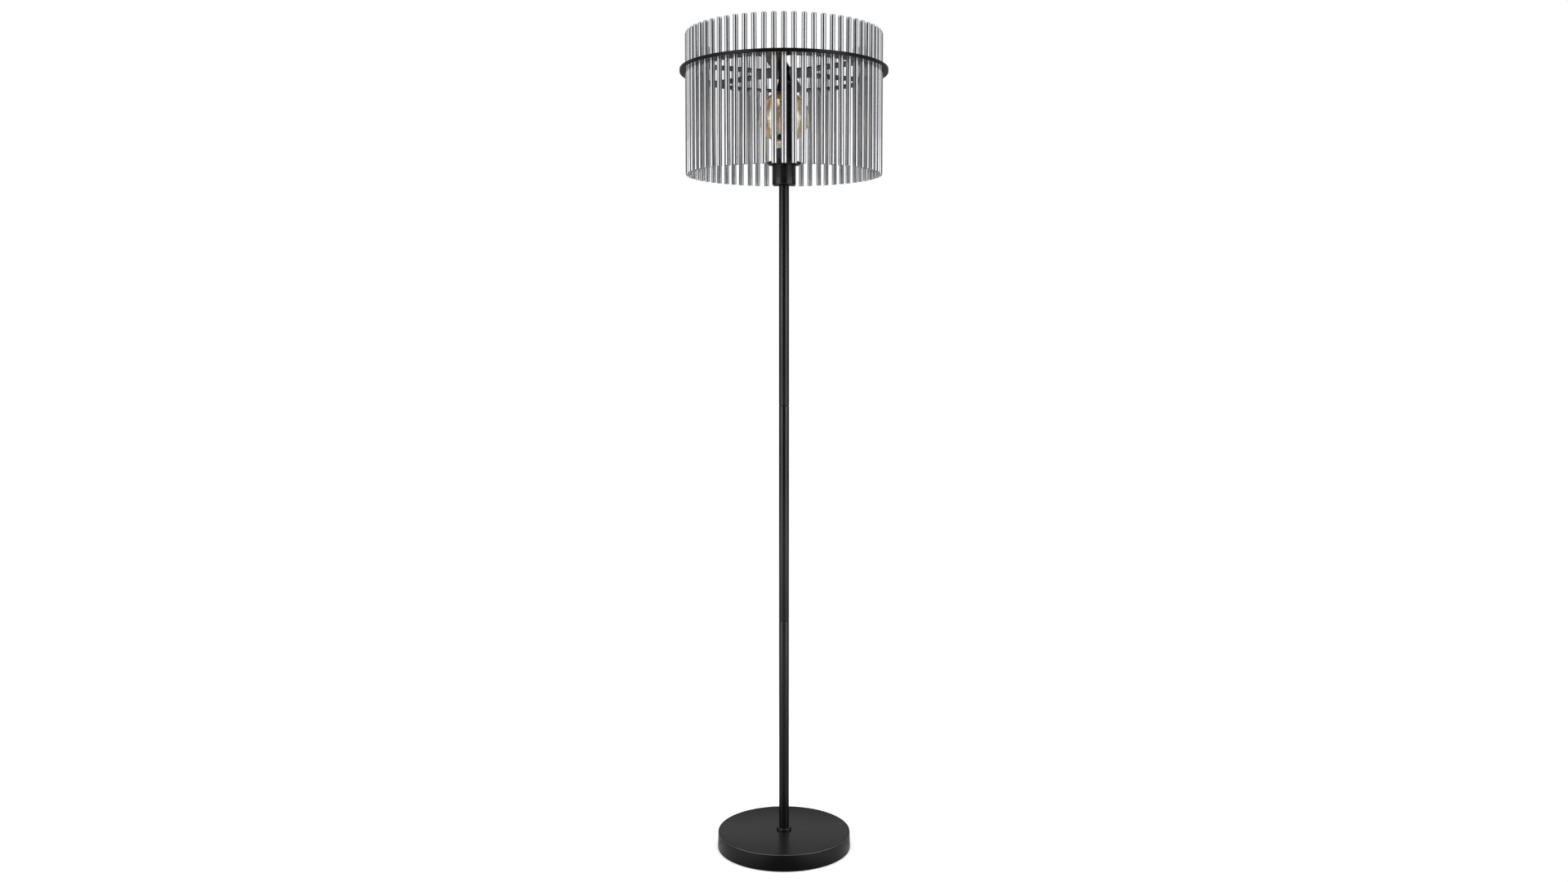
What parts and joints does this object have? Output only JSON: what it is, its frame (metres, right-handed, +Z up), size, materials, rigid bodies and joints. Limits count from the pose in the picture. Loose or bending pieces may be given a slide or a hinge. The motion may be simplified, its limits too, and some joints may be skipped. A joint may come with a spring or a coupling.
{
  "type": "floor lamp",
  "caption": "Slim floor lamp with a round weighted base, a sectional pole and a round shade of upright chrome rods around a globe bulb.",
  "frame": {"origin": "middle of the underside, on the floor", "axes": "+Z up along the pole, -Y towards the viewer in front, +X to the viewer's right"},
  "size_m": [0.386, 0.386, 1.5405],
  "materials": {
    "black_satin": "satin black powder coat",
    "cast_weight": "rough as cast",
    "foot_pad": "soft foam rubber",
    "zinc_steel": "bright zinc plate",
    "black_rubber": "matt moulded",
    "holder_plastic": "moulded phenolic",
    "holder_ceramic": "unglazed steatite",
    "brass": "drawn, bright",
    "black_steel": "black oxide",
    "spring_steel": "hardened spring steel",
    "chrome_rod": "polished to a mirror and chromed",
    "amber_glass": "clear amber tint",
    "cap_metal": "nickel bright",
    "cap_glass": "black vitrite",
    "stem_glass": "clear",
    "wire_metal": "drawn wire",
    "filament": "coated light strip, warm orange"
  },
  "bodies": {
    "lamp": {"base_cover": "black_satin", "base_weight": "cast_weight", "base_pad": "foot_pad", "base_stud": "zinc_steel", "base_washer": "zinc_steel", "base_nut": "zinc_steel", "cord_gland": "black_rubber", "foot_collar": "black_satin", "pole_lower": "black_satin", "pole_middle": "black_satin", "pole_upper": "black_satin", "pole_bushes": "zinc_steel", "pole_nipples": "zinc_steel", "socket_cup": "black_satin", "cup_stud": "zinc_steel", "cup_washer": "zinc_steel", "cup_nut": "zinc_steel", "lampholder_base": "holder_plastic", "lampholder_insert": "holder_ceramic", "lampholder_skirt": "holder_plastic", "thread_shell": "brass", "centre_contact": "brass", "terminal_screws": "brass", "shade_ring": "black_satin", "harp": "black_satin", "shade_carrier": "black_satin", "hub_screw": "black_steel", "hub_washer": "black_steel", "hub_nut": "black_steel", "rod_clips": "spring_steel", "rods_front": "chrome_rod", "rods_front_right": "chrome_rod", "rods_right": "chrome_rod", "rods_back_right": "chrome_rod", "rods_back": "chrome_rod", "rods_back_left": "chrome_rod", "rods_left": "chrome_rod", "rods_front_left": "chrome_rod"},
    "bulb": {"bulb_glass": "amber_glass", "bulb_cap": "cap_metal", "bulb_insulator": "cap_glass", "bulb_contact": "cap_metal", "bulb_stem": "stem_glass", "bulb_wires": "wire_metal", "bulb_filaments": "filament"}
  },
  "joints": [
    {"name": "bulb_unscrew", "type": "slide", "parent": "lamp", "child": "bulb", "axis": [0, 0, 1], "range_m": [0, 0.02]}
  ]
}
